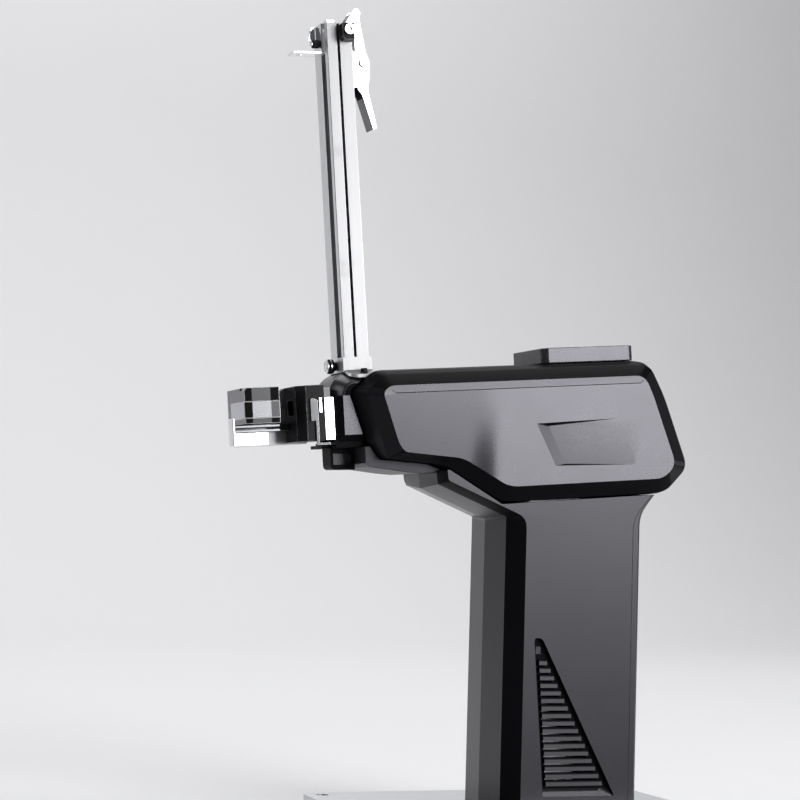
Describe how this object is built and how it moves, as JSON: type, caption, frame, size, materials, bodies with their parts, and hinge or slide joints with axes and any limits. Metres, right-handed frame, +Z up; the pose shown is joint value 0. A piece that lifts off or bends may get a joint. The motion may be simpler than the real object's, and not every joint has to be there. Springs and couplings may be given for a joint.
{
  "type": "bag clipping machine",
  "caption": "Table-top machine with a column on a base plate, a tilted head with jaws at its nose and a slotted clip mast, which closes bag necks with metal clips.",
  "frame": {"origin": "on the table under the middle of the overall box", "axes": "+Z up, -X towards the operator's jaws, the throat opens to -Y"},
  "size_m": [0.3501, 0.19, 0.5645],
  "materials": {
    "base_metal": "fine brushed, light grey",
    "rubber": "matt",
    "steel": "satin",
    "polished_steel": "polished",
    "mast_metal": "bright anodised",
    "anvil_metal": "dark satin",
    "black_plastic": "fine texture, satin",
    "dark_fittings": "satin",
    "black_steel": "blackened",
    "brass": "bright",
    "motor_case": "satin",
    "supply_case": "satin",
    "board": "lacquered",
    "display": "glossy",
    "green_button": "satin",
    "red_button": "satin",
    "grey_button": "satin"
  },
  "bodies": {
    "machine": {"base_plate": "base_metal", "rubber_feet": "rubber", "support_post": "steel", "post_bolts": "steel", "frame_plate_left": "steel", "frame_plate_right": "steel", "frame_spacers": "steel", "trigger_pin": "steel", "latch_pivot": "steel", "jaw_rails": "polished_steel", "jaw_cover": "polished_steel", "lower_bracket": "polished_steel", "latch_bracket": "polished_steel", "mast_cap": "polished_steel", "stop_screw": "polished_steel", "mast_channel": "mast_metal", "mast_foot": "mast_metal", "anvil_block": "anvil_metal", "jaw_frame": "anvil_metal", "guide_plates": "anvil_metal", "column_shell_left": "black_plastic", "column_shell_right": "black_plastic", "head_shell_left": "black_plastic", "head_shell_right": "black_plastic", "head_belly": "black_plastic", "nose_cap": "black_plastic", "nose_cheek_left": "black_plastic", "nose_cheek_right": "black_plastic", "lower_nose_block": "black_plastic", "rear_panel": "black_plastic", "control_pod": "black_plastic", "power_inlet": "dark_fittings", "switch_bezel": "dark_fittings", "jaw_block": "black_steel", "jaw_screws": "black_steel", "casing_screws": "black_steel", "stop_block": "black_steel", "flange_screws": "black_steel", "inlet_pins": "brass", "shaft_bearings": "brass", "drive_motor": "motor_case", "power_supply": "supply_case", "control_board": "board", "pod_display": "display"},
    "punch": {"punch_bar": "steel", "punch_tip": "polished_steel"},
    "cross_shaft": {"drive_shaft": "steel", "rack_pinion": "steel", "drive_gear": "steel"},
    "rotor": {"motor_pinion": "steel"},
    "follower": {"follower_slider": "mast_metal", "follower_bracket": "polished_steel"},
    "follower_screw": {"follower_knob": "polished_steel"},
    "mast_clamp": {"clamp_knob": "polished_steel"},
    "latch": {"latch_lever": "polished_steel"},
    "start": {"start_button": "green_button"},
    "stop": {"stop_button": "red_button"},
    "mode": {"mode_button": "grey_button"},
    "rocker": {"switch_rocker": "dark_fittings"},
    "trigger": {"trigger_lever": "black_steel"}
  },
  "joints": [
    {"name": "punch_slide", "type": "slide", "parent": "machine", "child": "punch", "axis": [-0.9962, 0, -0.0872], "range_m": [0, 0.055]},
    {"name": "cross_shaft_turn", "type": "hinge", "parent": "machine", "child": "cross_shaft", "pos_m": [0.01166, 0, 0.27578], "axis": [0, -1, 0], "range_deg": [-5, 230]},
    {"name": "rotor_turn", "type": "hinge", "parent": "machine", "child": "rotor", "pos_m": [0.04933, 0, 0.26569], "axis": [0, -1, 0], "range_deg": [-760, 20]},
    {"name": "follower_slide", "type": "slide", "parent": "machine", "child": "follower", "axis": [0.0872, 0, -0.9962], "range_m": [0, 0.2]},
    {"name": "follower_screw_turn", "type": "hinge", "parent": "follower", "child": "follower_screw", "pos_m": [-0.12164, -0.0035, 0.53727], "axis": [0.9962, 0, 0.0872], "continuous": true},
    {"name": "mast_clamp_turn", "type": "hinge", "parent": "machine", "child": "mast_clamp", "pos_m": [-0.10226, 0, 0.3158], "axis": [0.9962, 0, 0.0872], "continuous": true},
    {"name": "latch_turn", "type": "hinge", "parent": "machine", "child": "latch", "pos_m": [-0.08808, 0, 0.52665], "axis": [0, 1, 0], "range_deg": [0, 8]},
    {"name": "start_press", "type": "slide", "parent": "machine", "child": "start", "axis": [0.0872, 0, -0.9962], "range_m": [0, 0.0015], "stiffness_N_per_m": 400, "springref_m": -0.0005},
    {"name": "stop_press", "type": "slide", "parent": "machine", "child": "stop", "axis": [0.0872, 0, -0.9962], "range_m": [0, 0.0015], "stiffness_N_per_m": 400, "springref_m": -0.0005},
    {"name": "mode_press", "type": "slide", "parent": "machine", "child": "mode", "axis": [0.0872, 0, -0.9962], "range_m": [0, 0.0015], "stiffness_N_per_m": 400, "springref_m": -0.0005},
    {"name": "rocker_turn", "type": "hinge", "parent": "machine", "child": "rocker", "pos_m": [0.114, 0, 0.098], "axis": [0, 1, 0], "range_deg": [-8, 0]},
    {"name": "trigger_turn", "type": "hinge", "parent": "machine", "child": "trigger", "pos_m": [-0.12071, 0.006, 0.27424], "axis": [0.0872, 0, -0.9962], "range_deg": [0, 12], "stiffness_Nm_per_rad": 0.02, "springref_deg": -5.73}
  ],
  "couplings": [
    {"joint": "cross_shaft_turn", "follows": "punch_slide", "rad_per_m": 71.429},
    {"joint": "rotor_turn", "follows": "punch_slide", "rad_per_m": -238.1}
  ]
}
